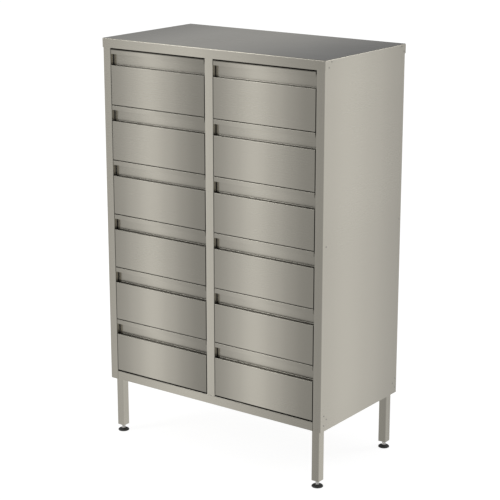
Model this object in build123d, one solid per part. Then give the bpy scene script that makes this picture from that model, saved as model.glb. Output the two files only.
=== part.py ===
"""Stainless steel reagent cabinet with two columns of drawers on telescopic runners.

Millimetres. +Z is up, the drawer fronts face -Y, and the origin is on the floor
under the middle of the cabinet.
"""
import os

from build123d import *

# Carcass, outside sizes
body_width = 850.0
body_depth = 450.0
body_height = 1150.0
underside_height = 192.0  # floor to the underside of the carcass
sheet = 1.0               # carcass, fronts and trays
bend_radius = 2.0         # outside radius of a carcass fold
return_depth = 12.0       # turned-in edge of a post, rail or panel
rear_flange = 20.0        # side panel's flange behind the back panel
seam = 0.3                # gap where two folded pieces butt together

# Top panel, a shallow lid that sits over the carcass
lid_drop = 30.0
lid_hem = 2.0             # its skirt is folded double, so this far proud of the carcass
lid_round = 2.5

# Front frame
post_width = 30.0
centre_post_width = 32.0
bottom_rail_height = 30.0

# Drawers
rows = 6
front_side_gap = 2.0
front_row_gap = 2.0
front_end_gap = 4.0       # above the top front and below the bottom one
lip_height = 15.0
pocket_height = 36.0
pocket_depth = 30.0
front_bend = 1.5          # outside radius of a fold in a front
hem_height = 8.0
hem_thickness = 1.0
tray_lift = 10.0          # tray floor above the front's lower edge
tray_height = 140.0
tray_overhang = 3.0       # the tray's back wall behind the runners' end

# Telescopic runners, three members to a side
runner_back_room = 17.0   # from the runners' end to the back of the carcass
runner_height = 45.0
runner_width = 12.7
outer_member_depth = 8.9  # the part of runner_width that the fixed member fills
runner_steel = 1.2
runner_lip = 2.0
runner_fit = 0.3
runner_setback = 2.0      # runners start this far behind the drawer front
inner_lip_overlap = 1.4   # how far the inner member's lip reaches behind the middle one's

# Uprights that carry the runners
upright_web = 40.0
upright_flange = 14.0
upright_steel = 1.2
upright_bend = 0.5        # inside radius of a fold in an upright
upright_setback = 8.0     # its web starts this far behind the turned-in edge of the post

# Legs and levelling feet
leg_size = 28.0
leg_wall = 1.5
leg_corner = 2.5
leg_inset = 12.5          # from the carcass faces to the leg's faces
leg_bottom = 22.0         # floor to the lower end of the tube
leg_plug = 4.0
stem_diameter = 12.0
stem_fit = 0.1
stem_engagement = 45.0
stem_collar_diameter = 20.0
stem_collar = 3.0
pad_diameter = 37.0
pad_height = 6.0

# Worked out from the sizes above
half_width = body_width / 2
front = -body_depth / 2
back = body_depth / 2
underside = underside_height
top = underside_height + body_height
lid_underside = top - sheet
floor_top = underside + bottom_rail_height
bay_top = top - lid_drop
bay_left = centre_post_width / 2
bay_right = half_width - post_width
bay_width = bay_right - bay_left
back_panel_front = back - 2 * sheet
front_width = bay_width - 2 * front_side_gap
front_height = (bay_top - floor_top - 2 * front_end_gap - (rows - 1) * front_row_gap) / rows
front_depth = pocket_depth + sheet
face_height = front_height - lip_height - pocket_height
runner_front = front + front_depth + runner_setback
runner_length = back - runner_back_room - runner_front
runner_level = tray_lift + tray_height / 2
tray_width = bay_width - 2 * runner_width
tray_depth = runner_setback + runner_length + tray_overhang
upright_front = front + return_depth + upright_setback
leg_centre = (half_width - leg_inset - leg_size / 2, front + leg_inset + leg_size / 2)
standing = (Align.CENTER, Align.CENTER, Align.MIN)


def block(x, y, z):
    """A box from its low and high corner on each axis."""
    size = [high - low for low, high in (x, y, z)]
    centre = [(low + high) / 2 for low, high in (x, y, z)]
    return Pos(*centre) * Box(*size)


def folded(points, radii, plane, length, thickness=sheet, side=Side.RIGHT):
    """Sheet folded along points, from one of its faces, and drawn out along the plane's normal."""
    path = FilletPolyline(*points, radius=radii)
    outline = offset(path, thickness, side=side)
    return extrude(plane * make_face(outline), length)


def across(x):
    """Plane whose local X is the depth and local Y is the height, at x, drawing out to +X."""
    return Plane(origin=(x, 0, 0), x_dir=(0, 1, 0), z_dir=(1, 0, 0))


def upward(z):
    return Plane(origin=(0, 0, z))


def lower_edge(row):
    """Height of a front's lower edge, row 1 at the top."""
    return bay_top - front_end_gap - front_height - (row - 1) * (front_height + front_row_gap)


def make_top_panel():
    outer = half_width + lid_hem
    lid = block((-outer, outer), (front - lid_hem, back + lid_hem), (bay_top, top))
    lid = fillet(lid.edges().filter_by(Axis.Z), lid_round)
    lid = fillet(lid.faces().sort_by(Axis.Z)[-1].edges(), lid_round)
    return lid - block((-half_width, half_width), (front, back), (bay_top, lid_underside))


def make_side_panel():
    """Right panel: its front edge is folded round to make the post."""
    plan = [(bay_right, front + return_depth), (bay_right, front), (half_width, front),
            (half_width, back), (half_width - rear_flange, back)]
    wall = folded(plan, bend_radius, upward(underside), lid_underside - underside, side=Side.LEFT)
    inside = half_width - sheet
    run = (front + return_depth, back - rear_flange)
    bottom_return = block((half_width - return_depth, inside), run, (underside, underside + sheet))
    top_return = block((half_width - return_depth, inside), run,
                       (lid_underside - sheet, lid_underside))
    return wall + bottom_return + top_return


def make_back_panel():
    clear_of_folds = half_width - bend_radius
    return block((-clear_of_folds, clear_of_folds), (back_panel_front, back - sheet),
                 (underside, lid_underside))


def make_bottom_panel():
    """Cabinet floor, folded down in front into the bottom rail."""
    rail_end = bay_right - seam
    section = [(front + return_depth, underside), (front, underside), (front, floor_top),
               (back_panel_front, floor_top), (back_panel_front, underside)]
    pan = folded(section, bend_radius, across(-rail_end), 2 * rail_end)
    beside = (front + return_depth + seam, back_panel_front)
    inside = half_width - sheet
    for ends in ((-inside, -rail_end), (rail_end, inside)):
        pan += block(ends, beside, (floor_top - sheet, floor_top))
    return pan


def make_top_rail():
    """Channel behind the lid's front skirt, over the drawers."""
    rail_end = bay_right - seam
    section = [(front + return_depth, bay_top), (front, bay_top),
               (front, lid_underside), (front + return_depth, lid_underside)]
    return folded(section, bend_radius, across(-rail_end), 2 * rail_end)


def make_centre_post():
    plan = [(-bay_left, front + return_depth), (-bay_left, front),
            (bay_left, front), (bay_left, front + return_depth)]
    return folded(plan, bend_radius, upward(floor_top), bay_top - floor_top, side=Side.LEFT)


def make_side_upright():
    """Right front upright, a hat section between the side panel and the runners."""
    wall = half_width - sheet
    web = bay_right + upright_steel
    far_fold = upright_front + upright_web - upright_steel
    plan = [(wall, upright_front - upright_flange), (wall, upright_front), (web, upright_front),
            (web, far_fold), (wall, far_fold), (wall, far_fold + upright_flange)]
    outer_bend = upright_bend + upright_steel
    radii = (upright_bend, outer_bend, outer_bend, upright_bend)
    height = lid_underside - sheet - floor_top
    return folded(plan, radii, upward(floor_top), height, thickness=upright_steel, side=Side.LEFT)


def make_centre_upright():
    """Front one of the two tubes that carry runners on both sides."""
    far = upright_front + upright_web
    tube = block((-bay_left, bay_left), (upright_front, far), (floor_top, lid_underside))
    hollow = block((upright_steel - bay_left, bay_left - upright_steel),
                   (upright_front + upright_steel, far - upright_steel), (floor_top, lid_underside))
    return tube - hollow


# A runner section's local X is its distance from the upright, local Y is its height.
def channel(depth_from, depth_to, half_height):
    """C section with its web towards the upright and lips that hold the next member in."""
    lip_edge = half_height - runner_steel - runner_lip
    outline = Polyline((depth_from, -half_height), (depth_to, -half_height),
                       (depth_to, -lip_edge), (depth_to - runner_steel, -lip_edge),
                       (depth_to - runner_steel, runner_steel - half_height),
                       (depth_from + runner_steel, runner_steel - half_height),
                       (depth_from + runner_steel, half_height - runner_steel),
                       (depth_to - runner_steel, half_height - runner_steel),
                       (depth_to - runner_steel, lip_edge), (depth_to, lip_edge),
                       (depth_to, half_height), (depth_from, half_height), close=True)
    return make_face(outline)


def runner_sections():
    """Outer, middle and inner sections, each one runner_fit clear of the last."""
    half = runner_height / 2
    middle_from = runner_steel + runner_fit
    middle_to = outer_member_depth - runner_steel - runner_fit
    middle_half = half - runner_steel - runner_fit
    hat_from = middle_from + runner_steel + runner_fit
    brim = middle_half - runner_steel - runner_fit
    crown = brim - inner_lip_overlap - runner_fit
    hat = make_face(Polyline(
        (hat_from, -brim), (hat_from + runner_steel, -brim),
        (hat_from + runner_steel, -crown), (runner_width, -crown),
        (runner_width, crown), (hat_from + runner_steel, crown),
        (hat_from + runner_steel, brim), (hat_from, brim),
        (hat_from, crown - runner_steel), (runner_width - runner_steel, crown - runner_steel),
        (runner_width - runner_steel, runner_steel - crown), (hat_from, runner_steel - crown),
        close=True))
    middle = channel(middle_from, middle_to, middle_half)
    return channel(0, outer_member_depth, half), middle, hat


def runner_member(section, length):
    """Member for the left side of the bay beside the centre, along the depth."""
    plane = Plane(origin=(0, 0, 0), x_dir=(1, 0, 0), z_dir=(0, -1, 0))
    return Pos(0, runner_front + length, 0) * extrude(plane * section, length)


def make_outer_member(section):
    """Fixed member, with a tab across its rear end that the others stop against."""
    half = runner_height / 2
    length = runner_length + runner_fit + runner_steel
    stop = runner_front + runner_length + runner_fit
    tab = block((0, outer_member_depth), (stop, stop + runner_steel), (-half, half))
    return runner_member(section, length) + tab


def runner_pair(member, row):
    """A member on each side of the right-hand bay, at a row's runner level."""
    level = lower_edge(row) + runner_level
    near = Pos(bay_left, 0, level) * member
    far = Pos(bay_right, 0, level) * mirror(member, about=Plane.YZ)
    return [near, far]


def make_front():
    """One folded sheet: bottom return, face, pocket floor, pocket back, top and lip."""
    inner_bend = front_bend - sheet
    section = [(front_depth, 0), (0, 0), (0, face_height), (pocket_depth, face_height),
               (pocket_depth, front_height - sheet), (sheet, front_height - sheet),
               (sheet, front_height - lip_height)]
    radii = (front_bend, front_bend, inner_bend, inner_bend, inner_bend)
    left = bay_left + front_side_gap
    right = left + front_width
    panel = folded(section, radii, across(left), front_width)
    hem_low = front_height - lip_height
    panel += block((left, right), (sheet, sheet + hem_thickness), (hem_low, hem_low + hem_height))
    for cheek in ((left, left + sheet), (right - sheet, right)):
        panel += block(cheek, (front_bend, front_depth), (0, face_height))
    return Pos(0, front, 0) * panel


def make_tray():
    """Open box with a folded-over rim, carried between the inner runner members."""
    left = bay_left + runner_width
    right = left + tray_width
    near = front + front_depth
    far = near + tray_depth
    rim = tray_lift + tray_height
    tray = block((left, right), (near, far), (tray_lift, rim))
    tray -= block((left + sheet, right - sheet), (near + sheet, far - sheet),
                  (tray_lift + sheet, rim))
    wall = sheet + hem_thickness
    hem = block((left, right), (near, far), (rim - hem_height, rim))
    hem -= block((left + wall, right - wall), (near + wall, far - wall), (rim - hem_height, rim))
    return tray + hem


def make_leg():
    """Right front leg: a square tube with a threaded plug welded into its lower end."""
    length = floor_top - sheet - leg_bottom
    bore = leg_size - 2 * leg_wall
    tube = extrude(RectangleRounded(leg_size, leg_size, leg_corner), length)
    hollow = extrude(Rectangle(bore, bore), length - leg_plug)
    hole = Cylinder(stem_diameter / 2 + stem_fit, leg_plug, align=standing)
    return Pos(*leg_centre, leg_bottom) * (tube - Pos(0, 0, leg_plug) * hollow - hole)


def make_stem():
    """Threaded stem of the right front foot, with a collar on top of the pad."""
    collar = Cylinder(stem_collar_diameter / 2, stem_collar, align=standing)
    rod = Cylinder(stem_diameter / 2, leg_bottom + stem_engagement - pad_height, align=standing)
    return Pos(*leg_centre, pad_height) * (collar + rod)


def make_pad():
    return Pos(*leg_centre, 0) * Cylinder(pad_diameter / 2, pad_height, align=standing)


def four_corners(piece):
    """The right front piece and its mirror images, by corner name."""
    left = mirror(piece, about=Plane.YZ)
    return {"front_right": piece, "front_left": left,
            "back_right": mirror(piece, about=Plane.XZ), "back_left": mirror(left, about=Plane.XZ)}


def carcass_nodes():
    """The fixed sheets, uprights and feet."""
    right_panel = make_side_panel()
    side_uprights = four_corners(make_side_upright())
    centre_upright = make_centre_upright()
    nodes = {"top_panel": make_top_panel(),
             "right_side_panel": right_panel,
             "left_side_panel": mirror(right_panel, about=Plane.YZ),
             "back_panel": make_back_panel(),
             "bottom_panel": make_bottom_panel(),
             "top_rail": make_top_rail(),
             "centre_post": make_centre_post(),
             "side_uprights": Compound(children=list(side_uprights.values())),
             "centre_uprights": Compound(children=[centre_upright,
                                                   mirror(centre_upright, about=Plane.XZ)])}
    for kind, piece in (("leg", make_leg()), ("foot_stem", make_stem()), ("foot_pad", make_pad())):
        for corner, solid in four_corners(piece).items():
            nodes[f"{kind}_{corner}"] = solid
    return nodes


def drawer_nodes():
    """Both columns. The left one is the right one's mirror image."""
    outer_section, middle_section, inner_section = runner_sections()
    outer = make_outer_member(outer_section)
    middle = runner_member(middle_section, runner_length)
    inner = runner_member(inner_section, runner_length)
    panel = make_front()
    tray = make_tray()
    nodes = {}
    fixed = []
    for row in range(1, rows + 1):
        lift = Pos(0, 0, lower_edge(row))
        fixed += runner_pair(outer, row)
        pieces = {"drawer_front": [lift * panel],
                  "drawer_box": [lift * tray] + runner_pair(inner, row),
                  "middle_runners": runner_pair(middle, row)}
        for name, solids in pieces.items():
            nodes[f"{name}_right_{row}"] = solids
            nodes[f"{name}_left_{row}"] = [mirror(solid, about=Plane.YZ) for solid in solids]
    nodes["outer_runners_right"] = fixed
    nodes["outer_runners_left"] = [mirror(solid, about=Plane.YZ) for solid in fixed]
    return {name: Compound(children=solids) for name, solids in nodes.items()}


def main():
    os.makedirs("parts", exist_ok=True)
    for name, shape in {**carcass_nodes(), **drawer_nodes()}.items():
        export_step(shape, f"parts/{name}.step")


main()
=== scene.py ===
import math

import bmesh
import bpy
import numpy as np
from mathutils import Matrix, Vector


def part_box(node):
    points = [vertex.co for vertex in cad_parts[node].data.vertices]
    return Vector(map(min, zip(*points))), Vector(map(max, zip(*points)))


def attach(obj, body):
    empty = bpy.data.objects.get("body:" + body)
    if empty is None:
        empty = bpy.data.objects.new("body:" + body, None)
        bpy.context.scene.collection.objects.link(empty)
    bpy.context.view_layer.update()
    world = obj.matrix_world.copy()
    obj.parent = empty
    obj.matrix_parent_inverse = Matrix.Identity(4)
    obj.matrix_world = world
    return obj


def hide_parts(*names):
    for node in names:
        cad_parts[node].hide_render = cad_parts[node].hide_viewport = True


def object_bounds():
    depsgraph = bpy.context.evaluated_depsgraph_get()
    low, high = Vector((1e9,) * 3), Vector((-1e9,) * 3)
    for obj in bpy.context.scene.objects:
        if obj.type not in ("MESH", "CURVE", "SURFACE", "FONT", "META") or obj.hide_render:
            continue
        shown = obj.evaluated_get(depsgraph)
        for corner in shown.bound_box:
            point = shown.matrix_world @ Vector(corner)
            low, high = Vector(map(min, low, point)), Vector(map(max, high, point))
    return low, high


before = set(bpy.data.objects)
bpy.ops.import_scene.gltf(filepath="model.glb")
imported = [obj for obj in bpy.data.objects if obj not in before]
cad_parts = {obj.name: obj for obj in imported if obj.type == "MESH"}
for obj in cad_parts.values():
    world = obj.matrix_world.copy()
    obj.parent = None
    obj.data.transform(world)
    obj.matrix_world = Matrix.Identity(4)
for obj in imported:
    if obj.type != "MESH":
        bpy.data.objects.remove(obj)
cadLow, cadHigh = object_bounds()
scene = bpy.context.scene
mm = 0.001
corners = ("front_left", "front_right", "back_left", "back_right")
columns = {"left": -1, "right": 1}
rowCount = 6
print("frame loaded,", len(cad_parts), "nodes")


# small helpers for shader trees: each returns a node or the socket that holds its result

def addNode(tree, kind, inputs=None, **settings):
    # inputs: each socket gets a plain value or another node's output
    node = tree.nodes.new(kind)
    for key, value in settings.items():
        setattr(node, key, value)
    for key, value in (inputs or {}).items():
        if isinstance(value, bpy.types.NodeSocket):
            tree.links.new(value, node.inputs[key])
        else:
            node.inputs[key].default_value = value
    return node


def addMath(tree, operation, a, b=0.0, clamp=False):
    node = addNode(tree, "ShaderNodeMath", {0: a, 1: b}, operation=operation, use_clamp=clamp)
    return node.outputs[0]


def plus(tree, a, b, clamp=False):
    return addMath(tree, "ADD", a, b, clamp)


def minus(tree, a, b):
    return addMath(tree, "SUBTRACT", a, b)


def times(tree, first, *others):
    for other in others:
        first = addMath(tree, "MULTIPLY", first, other)
    return first


def sizeOf(tree, value):
    return addMath(tree, "ABSOLUTE", value)


def above(tree, value, limit):
    # 1 where the value is over the limit, 0 elsewhere
    return addMath(tree, "GREATER_THAN", value, limit)


def pick(tree, mask, off, on):
    # off where the mask is 0, on where it is 1
    return addNode(tree, "ShaderNodeMix", {0: mask, 2: off, 3: on}, data_type="FLOAT").outputs[0]


def shareBetween(tree, value, low, high):
    # 0 at low, 1 at high, held there outside them
    node = addNode(tree, "ShaderNodeMapRange", {"Value": value, "From Min": low, "From Max": high})
    return node.outputs[0]


def axisOf(tree, vector, axis):
    return addNode(tree, "ShaderNodeSeparateXYZ", {0: vector}).outputs["XYZ".index(axis)]


def addRamp(tree, value, stops):
    # smooth grey ramp: stops are (place, brightness)
    node = addNode(tree, "ShaderNodeValToRGB", {0: value})
    ramp = node.color_ramp
    ramp.interpolation = "CARDINAL"
    while len(ramp.elements) < len(stops):
        ramp.elements.new(0.5)
    for element, (place, grey) in zip(ramp.elements, stops):
        element.position = place
        element.color = (grey, grey, grey, 1)
    return node.outputs[0]


def addNoise(tree, vector, scale, detail, roughness=0.5):
    return addNode(tree, "ShaderNodeTexNoise", {"Vector": vector, "Scale": scale, "Detail": detail,
                                                "Roughness": roughness}).outputs[0]


def newGroup(name, inputs, outputs):
    # inputs and outputs: names of sockets, each with Float, Vector or Color
    tree = bpy.data.node_groups.new(name, "ShaderNodeTree")
    for sockets, side in ((inputs, "INPUT"), (outputs, "OUTPUT")):
        for label, kind in sockets.items():
            tree.interface.new_socket(label, in_out=side, socket_type="NodeSocket" + kind)
    return tree, tree.nodes.new("NodeGroupInput").outputs, tree.nodes.new("NodeGroupOutput").inputs


def addGroup(tree, group, inputs):
    return addNode(tree, "ShaderNodeGroup", inputs, node_tree=group).outputs


# effects that several materials share

brushing = {
    "detail": 4.0,           # single strokes
    "roughness": 0.65,
    "beltScale": 0.11,       # the broader bands that the belt's passes leave
    "beltDetail": 2.0,
    "beltShare": 0.25,
}


def makeGrainGroup():
    # noise on coordinates that change fast across the strokes and slowly along them
    tree, given, result = newGroup("brushedGrain", {"Vector": "Vector"},
                                   {"Streak": "Float", "Height": "Float"})
    strokes = addNoise(tree, given["Vector"], 1.0, brushing["detail"], brushing["roughness"])
    belt = addNoise(tree, given["Vector"], brushing["beltScale"], brushing["beltDetail"])
    tree.links.new(pick(tree, brushing["beltShare"], strokes, belt), result["Streak"])
    tree.links.new(strokes, result["Height"])
    return tree


cloudDetail = 3.0


def makeCloudGroup():
    # slow cloudy change that handling and rolling leave on sheet
    tree, given, result = newGroup("handlingClouds", {"Vector": "Vector", "Size": "Float"},
                                   {"Cloud": "Float"})
    tree.links.new(addNoise(tree, given["Vector"], given["Size"], cloudDetail), result["Cloud"])
    return tree


def makeToneGroup():
    # colour = base x band x (1 + streak change) x (1 + cloud change)
    # roughness = base + (streak + cloud) x change, where streak and cloud are 0 on average
    tree, given, result = newGroup(
        "steelTone",
        {"Color": "Color", "Band": "Float", "Streak": "Float", "Streak Contrast": "Float",
         "Cloud": "Float", "Cloud Contrast": "Float", "Roughness": "Float",
         "Roughness Change": "Float"},
        {"Color": "Color", "Roughness": "Float"})
    streak, cloud = minus(tree, given["Streak"], 0.5), minus(tree, given["Cloud"], 0.5)
    streakGain = plus(tree, times(tree, streak, given["Streak Contrast"]), 1.0)
    cloudGain = plus(tree, times(tree, cloud, given["Cloud Contrast"]), 1.0)
    gain = times(tree, streakGain, cloudGain, given["Band"])
    colour = addNode(tree, "ShaderNodeVectorMath", {0: given["Color"], "Scale": gain},
                     operation="SCALE")
    change = times(tree, plus(tree, streak, cloud), given["Roughness Change"])
    tree.links.new(colour.outputs[0], result["Color"])
    tree.links.new(plus(tree, change, given["Roughness"], clamp=True), result["Roughness"])
    return tree


# painted light: gains that stand in for how the light changes with height
heightFade = {
    "low": 0.192,        # underside and top of the carcass
    "high": 1.342,
    "stops": ((0.0, 0.925), (0.1, 0.94), (0.35, 0.92), (0.49, 0.908), (0.6, 0.925),
              (0.77, 0.952), (0.88, 0.978), (0.93, 1.0), (1.0, 1.0)),
}


def makeFadeGroup():
    # painted light: a slow change of brightness from the bottom of the carcass to its top
    tree, given, result = newGroup("heightFade", {"Place": "Vector"}, {"Gain": "Float"})
    up = shareBetween(tree, axisOf(tree, given["Place"], "Z"), heightFade["low"], heightFade["high"])
    tree.links.new(addRamp(tree, up, heightFade["stops"]), result["Gain"])
    return tree


carcassSheen = {
    "halfWidth": 0.427,
    "halfDepth": 0.227,
    # painted sheen of the front and back, from left to right
    "ahead": ((0.02, 0.738), (0.12, 0.841), (0.25, 0.957), (0.40, 1.0), (0.50, 0.93),
              (0.68, 0.807), (0.82, 0.661), (0.97, 0.549)),
    # of the sides, from front to back
    "aside": ((0.06, 0.935), (0.28, 1.0), (0.50, 0.935), (0.72, 0.83), (0.94, 0.71)),
    # of the top, from left to right
    "above": ((0.04, 0.69), (0.27, 1.0), (0.50, 0.98), (0.73, 0.64), (0.96, 0.27)),
    "bendHighlight": 0.6,     # g: how much brighter the lid's long bends are: a painted highlight
}


def makeSheenGroup():
    # painted sheen: band = (ahead(x) ny^2 + aside(y) nx^2) fade(z) + above(x) nz^2, so that it
    # turns smoothly round a bend, and the bends along the lid's front and back gain a painted
    # highlight of 4 g ny^2 nz^2
    tree, given, result = newGroup("carcassSheen", {"Place": "Vector", "Facing": "Vector"},
                                   {"Band": "Float", "Level": "Float"})
    place, facing = given["Place"], given["Facing"]
    halfWidth, halfDepth = carcassSheen["halfWidth"], carcassSheen["halfDepth"]
    across = shareBetween(tree, axisOf(tree, place, "X"), -halfWidth, halfWidth)
    along = shareBetween(tree, axisOf(tree, place, "Y"), -halfDepth, halfDepth)
    turn = {axis: axisOf(tree, facing, axis) for axis in "XYZ"}
    share = {axis: times(tree, turn[axis], turn[axis]) for axis in "XYZ"}
    ahead = times(tree, addRamp(tree, across, carcassSheen["ahead"]), share["Y"])
    aside = times(tree, addRamp(tree, along, carcassSheen["aside"]), share["X"])
    level = times(tree, addRamp(tree, across, carcassSheen["above"]), share["Z"])
    fade = addGroup(tree, fadeGroup, {"Place": place})["Gain"]
    band = plus(tree, times(tree, plus(tree, ahead, aside), fade), level)
    rising = addMath(tree, "MAXIMUM", turn["Z"], 0.0)
    bend = times(tree, share["Y"], rising, rising, 4 * carcassSheen["bendHighlight"])
    tree.links.new(times(tree, band, plus(tree, bend, 1.0)), result["Band"])
    tree.links.new(share["Z"], result["Level"])
    return tree


grainGroup = makeGrainGroup()
cloudGroup = makeCloudGroup()
toneGroup = makeToneGroup()
fadeGroup = makeFadeGroup()
sheenGroup = makeSheenGroup()


# each sheen gives the painted brightness at a place (painted sheen, shade and shadow), how far the
# face looks up, and added roughness

def sheenOfCarcass(tree, place, facing):
    sheen = addGroup(tree, sheenGroup, {"Place": place, "Facing": facing})
    return sheen["Band"], sheen["Level"], 0.0


frontSheen = {
    "left": -0.393,      # where the left column's fronts begin
    "pitch": 0.411,      # from one column to the next
    "stops": ((0.0, 0.577), (0.137, 0.72), (0.255, 0.882), (0.374, 1.0), (0.502, 0.882),
              (0.638, 0.70), (0.775, 0.535), (0.912, 0.46)),
    "upFrom": 0.9,       # faces that look up are those with nz over this
    "shadeFrom": (0.2, 0.7),    # from where the painted shade on them hardly shows to where all of it does
    "pocketShade": 0.84,   # how much all of the painted shade takes away
    "pocketMatt": 0.2,     # and how much roughness faces that look up gain, which darkens them further
    "lidShadow": (1.3045, 1.3066),    # heights where the lid's shadow begins and is full
    "shadowLeaves": 0.25,
}


def sheenOfFronts(tree, place, facing):
    # painted sheen: one soft bright band on each front, at the same place in both columns, with the
    # painted change of brightness with height
    share = addMath(tree, "DIVIDE", minus(tree, axisOf(tree, place, "X"), frontSheen["left"]),
                    frontSheen["pitch"])
    band = addRamp(tree, addMath(tree, "FRACT", share), frontSheen["stops"])
    fade = addGroup(tree, fadeGroup, {"Place": place})["Gain"]
    up = above(tree, axisOf(tree, facing, "Z"), frontSheen["upFrom"])
    # painted shade on faces that look up, such as the pocket floors, strongest where they are looked
    # along: this is 1 - cos(angle of view)
    glancing = addNode(tree, "ShaderNodeLayerWeight", {"Blend": 0.5}).outputs["Facing"]
    dustAndShade = times(tree, up, shareBetween(tree, glancing, *frontSheen["shadeFrom"]))
    dustyAndShaded = minus(tree, 1.0, times(tree, dustAndShade, frontSheen["pocketShade"]))
    # the top bend of the top row lies in the lid's shadow
    underLid = shareBetween(tree, axisOf(tree, place, "Z"), *frontSheen["lidShadow"])
    shade = pick(tree, underLid, dustyAndShaded, frontSheen["shadowLeaves"])
    return times(tree, band, fade, shade), 0.0, times(tree, up, frontSheen["pocketMatt"])


floorSheen = {
    "gapShadow": (0.2188, 0.2212),    # heights where the shadow of the gap begins and is full
    "shadowLeaves": 0.42,
}


def sheenOfFloor(tree, place, facing):
    # the bottom rail's upper bend lies in the gap under the lowest fronts
    band, level, matt = sheenOfCarcass(tree, place, facing)
    inGap = shareBetween(tree, axisOf(tree, place, "Z"), *floorSheen["gapShadow"])
    return times(tree, band, pick(tree, inGap, 1.0, floorSheen["shadowLeaves"])), level, matt


lidMarks = {
    "radius": 2.2 * mm,     # of the rivets set flush into the skirt
    "soft": 0.6 * mm,
    "leaves": 0.35,
    "sideFrom": 0.9,        # only on faces with nx over this
    "spots": ((-0.207, 1.319), (-0.193, 1.335), (0.215, 1.319), (0.201, 1.335)),    # y and z
    "far": 1.0,             # a distance beyond them all
}


def sheenOfLid(tree, place, facing):
    # the carcass sheen with a dark dot round each spot on the two end skirts
    band, level, matt = sheenOfCarcass(tree, place, facing)
    flat = addNode(tree, "ShaderNodeVectorMath", {0: place, 1: (0.0, 1.0, 1.0)},
                   operation="MULTIPLY").outputs[0]
    nearest = lidMarks["far"]
    for y, z in lidMarks["spots"]:
        away = addNode(tree, "ShaderNodeVectorMath", {0: flat, 1: (0.0, y, z)},
                       operation="DISTANCE").outputs["Value"]
        nearest = addMath(tree, "MINIMUM", away, nearest)
    side = above(tree, sizeOf(tree, axisOf(tree, facing, "X")), lidMarks["sideFrom"])
    dot = shareBetween(tree, nearest, lidMarks["radius"] + lidMarks["soft"], lidMarks["radius"])
    return times(tree, band, pick(tree, times(tree, side, dot), 1.0, lidMarks["leaves"])), level, matt


postSheen = {
    "sideFrom": 0.7,
    "outerFrom": 0.41,    # faces nearer the middle than this stand in the gaps beside the fronts
    "innerGain": 1.15,    # painted light: their side faces are this much brighter
    "bendLoss": 0.6,      # and painted shade: their bends lose this much
}


def sheenOfPosts(tree, place, facing):
    # painted shade: an inner bend loses 4 k nx^2 ny^2, where k is the bend's loss: it is most in the
    # middle; painted light makes the inner side faces brighter
    band, level, matt = sheenOfCarcass(tree, place, facing)
    nx, ny = axisOf(tree, facing, "X"), axisOf(tree, facing, "Y")
    side = above(tree, sizeOf(tree, nx), postSheen["sideFrom"])
    inner = addMath(tree, "LESS_THAN", sizeOf(tree, axisOf(tree, place, "X")), postSheen["outerFrom"])
    gain = pick(tree, times(tree, side, inner), 1.0, postSheen["innerGain"])
    loss = times(tree, nx, nx, ny, ny, inner, 4 * postSheen["bendLoss"])
    return times(tree, band, gain, minus(tree, 1.0, loss)), level, matt


# finishes

steelLook = {
    "colour": (0.465, 0.442, 0.384, 1),         # where the painted sheen is brightest
    "levelColour": (0.465, 0.448, 0.392, 1),    # the same on faces that look up, with a painted tint of the light that falls there
    "roughness": 0.26,
    "anisotropy": 0.4,
    "streakContrast": 0.06,
    "cloudContrast": 0.07,
    "cloudSize": 3.0,
    "roughnessChange": 0.10,
    "bumpStrength": 0.03,
    "bumpDistance": 0.15 * mm,
}

# noise cells to the metre along x, y and z: few along the strokes
alongX, alongY, alongZ = (3, 900, 900), (900, 3, 900), (900, 900, 3)
levelStrokes = (3, 3, 900)        # strokes that stay level round a corner
stretchUp = (0.0, 0.01, 1.0)      # which way highlights stretch, beside level strokes
stretchAside = (1.0, 0.3, 0.0)    # and beside upright ones


def startMaterial(name):
    material = bpy.data.materials.new(name)
    material.use_nodes = True
    tree = material.node_tree
    tree.nodes.clear()
    shader = tree.nodes.new("ShaderNodeBsdfPrincipled")
    addNode(tree, "ShaderNodeOutputMaterial", {"Surface": shader.outputs[0]})
    coordinates = tree.nodes.new("ShaderNodeTexCoord").outputs
    return material, tree, shader, coordinates["Object"], coordinates["Normal"]


def makeSteel(name, strokes, sheen=None, **changes):
    # brushed or plated steel: changes are what differs from steelLook
    look = {**steelLook, **changes}
    material, tree, shader, place, facing = startMaterial(name)
    scaled = addNode(tree, "ShaderNodeMapping", {"Vector": place, "Scale": strokes})
    grain = addGroup(tree, grainGroup, {"Vector": scaled.outputs[0]})
    cloud = addGroup(tree, cloudGroup, {"Vector": place, "Size": look["cloudSize"]})
    band, level, matt = sheen(tree, place, facing) if sheen else (1.0, 0.0, 0.0)
    colour = addNode(tree, "ShaderNodeMix", {0: level, 6: look["colour"], 7: look["levelColour"]},
                     data_type="RGBA")
    tone = addGroup(tree, toneGroup, {
        "Color": colour.outputs[2], "Band": band,
        "Streak": grain["Streak"], "Streak Contrast": look["streakContrast"],
        "Cloud": cloud["Cloud"], "Cloud Contrast": look["cloudContrast"],
        "Roughness": look["roughness"], "Roughness Change": look["roughnessChange"]})
    bump = addNode(tree, "ShaderNodeBump", {"Height": grain["Height"],
                                            "Strength": look["bumpStrength"],
                                            "Distance": look["bumpDistance"]})
    if look["anisotropy"]:
        stretch = stretchUp if strokes[2] >= strokes[0] else stretchAside
        tangent = addNode(tree, "ShaderNodeCombineXYZ", dict(enumerate(stretch)))
        tree.links.new(tangent.outputs[0], shader.inputs["Tangent"])
    shader.inputs["Metallic"].default_value = 1.0
    shader.inputs["Anisotropic"].default_value = look["anisotropy"]
    tree.links.new(tone["Color"], shader.inputs["Base Color"])
    tree.links.new(plus(tree, tone["Roughness"], matt), shader.inputs["Roughness"])
    tree.links.new(bump.outputs[0], shader.inputs["Normal"])
    return material


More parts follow.
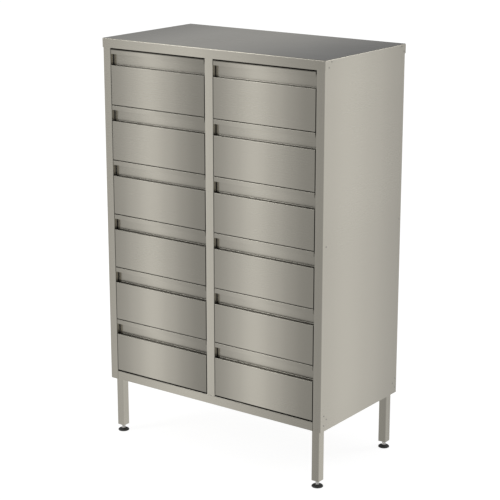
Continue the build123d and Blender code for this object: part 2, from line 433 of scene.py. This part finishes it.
trayLook = {"strokes": alongY, "colour": (0.38, 0.37, 0.335, 1), "roughness": 0.32,
            "streakContrast": 0.14}
# the zinc plate and the galvanised uprights are dull plating, given darker colours as painted shade of
# the cabinet's inside
zincLook = {"strokes": (60, 60, 60), "colour": (0.33, 0.34, 0.355, 1), "roughness": 0.42,
            "streakContrast": 0.12, "anisotropy": 0.0}
uprightLook = {"strokes": (40, 40, 40), "colour": (0.26, 0.265, 0.27, 1), "roughness": 0.5,
               "streakContrast": 0.5, "anisotropy": 0.0}
stemLook = {"strokes": (400, 400, 900), "colour": (0.72, 0.71, 0.69, 1), "roughness": 0.35,
            "anisotropy": 0.0}
rivetLook = {"strokes": (400, 400, 400), "colour": (0.22, 0.215, 0.20, 1), "roughness": 0.4,
             "anisotropy": 0.0}

frontSteel = makeSteel("brushedFronts", alongX, sheenOfFronts)
lidSteel = makeSteel("brushedLid", alongX, sheenOfLid)
sideSteel = makeSteel("brushedSides", levelStrokes, sheenOfPosts)
railSteel = makeSteel("brushedRails", alongX, sheenOfCarcass)
floorSteel = makeSteel("brushedFloor", alongX, sheenOfFloor)
postSteel = makeSteel("brushedPost", alongZ, sheenOfPosts)
legSteel = makeSteel("brushedLegs", alongZ, sheenOfCarcass)
traySteel = makeSteel("brushedTrays", **trayLook)
zincSteel = makeSteel("zincPlate", **zincLook)
uprightSteel = makeSteel("galvanisedSteel", **uprightLook)
stemSteel = makeSteel("machinedSteel", **stemLook)
rivetSteel = makeSteel("rivetSteel", **rivetLook)


rubberLook = {
    "colour": (0.022, 0.022, 0.022, 1),
    "dustAndShade": (0.13, 0.13, 0.12, 1),
    "dustShare": 0.25,
    "dustSize": 60.0,        # patches to the metre
    "roughness": 0.55,
    "poreSize": 1800.0,      # pores to the metre
    "poreDetail": 3.0,
    "poreStrength": 0.25,
    "poreDepth": 0.2 * mm,
}


def makeRubber():
    material, tree, shader, place, facing = startMaterial("mouldedRubber")
    pores = addNoise(tree, place, rubberLook["poreSize"], rubberLook["poreDetail"])
    cloud = addGroup(tree, cloudGroup, {"Vector": place, "Size": rubberLook["dustSize"]})
    dustyAndShaded = times(tree, cloud["Cloud"], rubberLook["dustShare"])
    colour = addNode(tree, "ShaderNodeMix", {0: dustyAndShaded, 6: rubberLook["colour"], 7: rubberLook["dustAndShade"]},
                     data_type="RGBA")
    bump = addNode(tree, "ShaderNodeBump", {"Height": pores, "Strength": rubberLook["poreStrength"],
                                            "Distance": rubberLook["poreDepth"]})
    tree.links.new(colour.outputs[2], shader.inputs["Base Color"])
    tree.links.new(bump.outputs[0], shader.inputs["Normal"])
    shader.inputs["Roughness"].default_value = rubberLook["roughness"]
    return material


rubber = makeRubber()
print("materials made")


def dress(node, material):
    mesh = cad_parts[node].data
    mesh.materials.clear()
    mesh.materials.append(material)


carcassFinish = {
    "top_panel": lidSteel, "left_side_panel": sideSteel, "right_side_panel": sideSteel,
    "back_panel": railSteel, "bottom_panel": floorSteel, "top_rail": railSteel,
    "centre_post": postSteel, "side_uprights": uprightSteel, "centre_uprights": uprightSteel,
    "outer_runners_left": zincSteel, "outer_runners_right": zincSteel,
}
for node, finish in carcassFinish.items():
    dress(node, finish)
for side in columns:
    for row in range(1, rowCount + 1):
        dress(f"drawer_front_{side}_{row}", frontSteel)
        dress(f"drawer_box_{side}_{row}", traySteel)
        dress(f"middle_runners_{side}_{row}", zincSteel)
for corner in corners:
    dress(f"leg_{corner}", legSteel)
print("nodes dressed")


# new pieces

def joinRings(grids):
    # each grid is points[row, step]: its steps close into rings, its first and last ring are capped
    faces, count = [], 0
    for points in grids:
        rows, steps = points.shape[:2]
        index = count + np.arange(rows * steps).reshape(rows, steps)
        following = np.roll(index, -1, axis=1)
        quads = np.stack([index[:-1], following[:-1], following[1:], index[1:]], axis=-1)
        faces += quads.reshape(-1, 4).tolist()
        faces += [index[0][::-1].tolist(), index[-1].tolist()]
        count += rows * steps
    return np.concatenate([points.reshape(-1, 3) for points in grids]), faces


def makePiece(name, grids, material, body, sharpFrom):
    # edges that turn by more than sharpFrom degrees stay sharp
    places, faces = joinRings(grids)
    mesh = bpy.data.meshes.new(name)
    mesh.from_pydata(places, [], faces)
    whole = bmesh.new()
    whole.from_mesh(mesh)
    bmesh.ops.recalc_face_normals(whole, faces=whole.faces)
    whole.to_mesh(mesh)
    whole.free()
    mesh.polygons.foreach_set("use_smooth", np.ones(len(mesh.polygons), bool))
    mesh.set_sharp_from_angle(angle=math.radians(sharpFrom))
    mesh.materials.append(material)
    piece = bpy.data.objects.new(name, mesh)
    scene.collection.objects.link(piece)
    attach(piece, body)
    return piece


def pairs(first, second):
    return np.stack([first, second], axis=-1)


def turned(profile, centre, angle):
    # a profile of (radius, height) points turned round a vertical line through centre
    radius, height = np.asarray(profile, float).T
    x = centre[0] + radius[:, None] * np.cos(angle)
    y = centre[1] + radius[:, None] * np.sin(angle)
    z = centre[2] + height[:, None] + 0 * angle
    return np.stack([x, y, z], axis=-1)


def roundAngles(steps):
    return np.linspace(0, 2 * math.pi, steps, endpoint=False)


def footOf(low, high):
    # the middle of a box's underside
    return (low.x + high.x) / 2, (low.y + high.y) / 2, low.z


pocketShape = {
    "depth": 15 * mm,        # of the finger pocket, from the face of the drawer to its back
    "low": 127.667 * mm,     # the pocket's floor, above the drawer front's lower edge
    "high": 177.667 * mm,    # and its ceiling
    "bend": 1.5 * mm,        # inside radius where the back meets them
    "bendPoints": 6,
    "flat": 0.5 * mm,        # keeps the shading of the bends off the flat
    "sunk": 0.3 * mm,        # how far it reaches into the sheets around it
    "endRoom": 0.05 * mm,    # short of the front's ends
    "sharpFrom": 35,
}


def makePocketBack(side, row):
    # a folded strip that closes the pocket at its real depth: one profile, carried along x.
    # Its lower bend is y = back - r + r cos t, z = floor + r + r sin t, t from -90 to 0 degrees,
    # and its upper bend mirrors that
    low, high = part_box(f"drawer_front_{side}_{row}")
    bend, sunk, flat = pocketShape["bend"], pocketShape["sunk"], pocketShape["flat"]
    back, rear = low.y + pocketShape["depth"], high.y - sunk
    floor, ceiling = low.z + pocketShape["low"], low.z + pocketShape["high"]
    t = np.linspace(-math.pi / 2, 0, pocketShape["bendPoints"])
    y = back - bend + bend * np.cos(t)
    z = floor + bend + bend * np.sin(t)
    top = floor + ceiling - z
    profile = np.concatenate([
        [(rear, floor - sunk), (y[0], floor - sunk)], pairs(y, z),
        [(back, z[-1] + flat), (back, top[-1] - flat)], pairs(y, top)[::-1],
        [(y[0], ceiling + sunk), (rear, ceiling + sunk)]])
    ends = np.array([low.x + pocketShape["endRoom"], high.x - pocketShape["endRoom"]])
    points = np.empty((2, len(profile), 3))
    points[..., 0] = ends[:, None]
    points[..., 1:] = profile
    makePiece(f"pocket_back_{side}_{row}", [points], frontSteel, f"drawer_{side}_{row}",
              pocketShape["sharpFrom"])


for side in columns:
    for row in range(1, rowCount + 1):
        makePocketBack(side, row)
print("finger pockets closed at their depth")


padShape = {
    "sole": (0.3, 0.6),        # rings on the floor, in shares of the radius
    "toeRadius": 0.95,         # share of the radius that touches the floor
    "toePoints": 7,
    "rimHeight": 1.0 * mm,     # where the pad is widest
    "shoulderRadius": 0.62,    # share of the radius where the hub begins
    "crownPoints": 9,
    "hubRadius": 7.2 * mm,
    "hubRise": 2.4 * mm,
    "hubPoints": 7,
    "hubFlat": 0.7,            # share of the hub's radius that its top ring has
    "steps": 64,
    "sharpFrom": 50,
}


def makePad(corner):
    # turned profile: an elliptic quarter from the toe out to the rim, one from the rim in to the
    # shoulder, and a hub with radius = shoulder - (shoulder - hub) s, z = height + rise sin(90 s)
    low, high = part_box(f"foot_pad_{corner}")
    radius, height = (high.x - low.x) / 2, high.z - low.z
    rim, rise, hub = padShape["rimHeight"], padShape["hubRise"], padShape["hubRadius"]
    toe, shoulder = padShape["toeRadius"] * radius, padShape["shoulderRadius"] * radius
    under = np.linspace(0, math.pi / 2, padShape["toePoints"])
    over = np.linspace(0, math.pi / 2, padShape["crownPoints"])[1:]
    s = np.linspace(0, 1, padShape["hubPoints"])[1:]
    profile = np.concatenate([
        [(share * radius, 0.0) for share in padShape["sole"]],
        pairs(toe + (radius - toe) * np.sin(under), rim * (1 - np.cos(under))),
        pairs(shoulder + (radius - shoulder) * np.cos(over), rim + (height - rim) * np.sin(over)),
        pairs(shoulder - (shoulder - hub) * s, height + rise * np.sin(math.pi * s / 2)),
        [(padShape["hubFlat"] * hub, height + rise)]])
    points = turned(profile, footOf(low, high), roundAngles(padShape["steps"]))
    pad = makePiece(f"pad_{corner}", [points], rubber, f"foot_{corner}",
                    padShape["sharpFrom"])
    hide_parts(f"foot_pad_{corner}")


stemShape = {
    "pitch": 1.75 * mm,
    "depth": 1.0 * mm,           # of the thread
    "crest": 5.95 * mm,          # radius over the thread
    "runOut": 1.5,               # turns over which the thread fades at either end
    "collar": 3.0 * mm,          # thickness of the collar, which the pad's hub hides
    "collarRadius": 6.5 * mm,
    "collarFlat": 0.5,           # share of that radius that its lowest ring has
    "chamfer": 0.4 * mm,
    "square": 1.6,               # 0.1 gives the thread a sine's section, 3 a nearly square one
    "ringsPerTurn": 10,
    "steps": 36,
    "sharpFrom": 50,
}


def makeStem(corner):
    # thread: r = root + depth/2 fade (1 + tanh(k cos(2 pi z / pitch - angle)) / tanh k),
    # where fade runs from 0 at either end to 1 after the run-out
    low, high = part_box(f"foot_stem_{corner}")
    collar, chamfer, pitch = stemShape["collar"], stemShape["chamfer"], stemShape["pitch"]
    wide, depth, square = stemShape["collarRadius"], stemShape["depth"], stemShape["square"]
    root, height = stemShape["crest"] - depth, high.z - low.z
    rings = int((height - collar) / pitch * stemShape["ringsPerTurn"])
    z = np.linspace(collar, height - chamfer, rings)
    angle = roundAngles(stemShape["steps"])
    fade = np.clip(np.minimum(z - z[0], z[-1] - z) / (stemShape["runOut"] * pitch), 0, 1)
    wave = np.tanh(square * np.cos(2 * math.pi * z[:, None] / pitch - angle))
    lift = depth / 2 * fade[:, None] * (1 + wave / math.tanh(square))
    foot = [(stemShape["collarFlat"] * wide, 0), (wide - chamfer, 0), (wide, chamfer),
            (wide, collar - chamfer), (wide - chamfer, collar)]
    profile = np.concatenate([foot, pairs(root + 0 * z, z), [(root - chamfer, height)]])
    points = turned(profile, footOf(low, high), angle)
    points[len(foot):-1, :, 0] += lift * np.cos(angle)
    points[len(foot):-1, :, 1] += lift * np.sin(angle)
    stem = makePiece(f"stem_{corner}", [points], stemSteel, f"foot_{corner}",
                     stemShape["sharpFrom"])
    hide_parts(f"foot_stem_{corner}")


for corner in corners:
    makePad(corner)
    makeStem(corner)
print("feet made")


rivetShape = {
    "radius": 2.5 * mm,
    "height": 0.7 * mm,
    "frontRow": 18 * mm,       # from the body's front
    "backRow": 10 * mm,        # from the body's back
    "heights": (19 * mm, 50 * mm, 590 * mm),    # above the body's underside
    "cornerIn": 14 * mm,       # one more rivet this far in from each row
    "cornerHeight": 36 * mm,
    "rings": 5,
    "crown": 0.12,             # angle at the last ring, just short of the middle
    "steps": 20,
    "sharpFrom": 50,
}


def makeRivets():
    # low domes: distance out of the sheet = height x cos(turn), radius = full radius x sin(turn)
    low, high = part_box("right_side_panel")
    turns = np.linspace(math.pi / 2, rivetShape["crown"], rivetShape["rings"])[:, None]
    around = roundAngles(rivetShape["steps"])
    front, back = low.y + rivetShape["frontRow"], high.y - rivetShape["backRow"]
    spots = [(y, low.z + z) for y in (front, back) for z in rivetShape["heights"]]
    spots += [(front + rivetShape["cornerIn"], low.z + rivetShape["cornerHeight"]),
              (back - rivetShape["cornerIn"], low.z + rivetShape["cornerHeight"])]
    out = high.x + rivetShape["height"] * np.cos(turns) + 0 * around
    spreadY = rivetShape["radius"] * np.sin(turns) * np.cos(around)
    spreadZ = rivetShape["radius"] * np.sin(turns) * np.sin(around)
    for side, sign in columns.items():
        heads = [np.stack([sign * out, y + spreadY, z + spreadZ], axis=-1) for y, z in spots]
        makePiece(f"rivets_{side}", heads, rivetSteel, "cabinet",
                  rivetShape["sharpFrom"])


makeRivets()
print("rivets made")


studio = {
    "cameraPlace": (2.8518, -3.9047, 1.9889),
    "azimuth": -36.22,          # degrees from +Y towards -X, the way the camera looks
    "elevation": 15.39,         # degrees that it looks down
    "lens": 110.56,
    "sensor": 36.0,
    "worldAhead": 0.52,         # how bright the room is that the metal sees above the floor
    "worldBehind": 0.46,
    "worldTurn": (-0.3, 0.6),   # from ahead to behind, by the y of the direction
    "floorColour": (0.35, 0.35, 0.35, 1),
    "floorGlow": 0.86,
    "floorSize": 40.0,
    "frontLight": {"place": (-3.2, -4.6, 3.6), "size": 2.4, "power": 60.0},
    "backLight": {"place": (3.4, 4.4, 3.0), "size": 2.4, "power": 40.0},
}


def makeCamera():
    turn, drop = math.radians(studio["azimuth"]), math.radians(studio["elevation"])
    looking = Vector((math.sin(turn) * math.cos(drop), math.cos(turn) * math.cos(drop),
                      -math.sin(drop)))
    data = bpy.data.cameras.new("camera")
    data.lens = studio["lens"]
    data.sensor_width = studio["sensor"]
    camera = bpy.data.objects.new("camera", data)
    camera.location = studio["cameraPlace"]
    camera.rotation_euler = looking.to_track_quat("-Z", "Y").to_euler()
    scene.collection.objects.link(camera)
    scene.camera = camera


def makeWorld():
    # the camera sees white paper, the metal sees a dimmer room
    world = bpy.data.worlds.new("studioWorld")
    world.use_nodes = True
    tree = world.node_tree
    tree.nodes.clear()
    paper = addNode(tree, "ShaderNodeBackground", {"Color": (1, 1, 1, 1), "Strength": 1.0})
    way = tree.nodes.new("ShaderNodeTexCoord").outputs["Generated"]
    behind = shareBetween(tree, axisOf(tree, way, "Y"), *studio["worldTurn"])
    glow = pick(tree, behind, studio["worldAhead"], studio["worldBehind"])
    room = addNode(tree, "ShaderNodeBackground", {"Color": (1, 1, 1, 1), "Strength": glow})
    toCamera = tree.nodes.new("ShaderNodeLightPath").outputs["Is Camera Ray"]
    mixed = addNode(tree, "ShaderNodeMixShader", {0: toCamera, 1: room.outputs[0],
                                                  2: paper.outputs[0]})
    addNode(tree, "ShaderNodeOutputWorld", {"Surface": mixed.outputs[0]})
    scene.world = world


def makeFloor():
    half = studio["floorSize"] / 2
    mesh = bpy.data.meshes.new("floor")
    mesh.from_pydata([(-half, -half, 0), (half, -half, 0), (half, half, 0), (-half, half, 0)],
                     [], [(0, 1, 2, 3)])
    material, tree, shader, place, facing = startMaterial("paleFloor")
    shader.inputs["Base Color"].default_value = studio["floorColour"]
    shader.inputs["Roughness"].default_value = 1.0
    shader.inputs["Emission Color"].default_value = (1, 1, 1, 1)
    shader.inputs["Emission Strength"].default_value = studio["floorGlow"]
    mesh.materials.append(material)
    floor = bpy.data.objects.new("floor", mesh)
    scene.collection.objects.link(floor)


def makeLight(name):
    look = studio[name]
    data = bpy.data.lights.new(name, "AREA")
    data.shape = "DISK"
    data.size = look["size"]
    data.energy = look["power"]
    light = bpy.data.objects.new(name, data)
    light.location = look["place"]
    middle = (cadLow + cadHigh) / 2
    light.rotation_euler = (middle - light.location).to_track_quat("-Z", "Y").to_euler()
    scene.collection.objects.link(light)


makeCamera()
makeWorld()
makeFloor()
makeLight("frontLight")
makeLight("backLight")
scene.view_settings.view_transform = "Standard"
print("studio made")
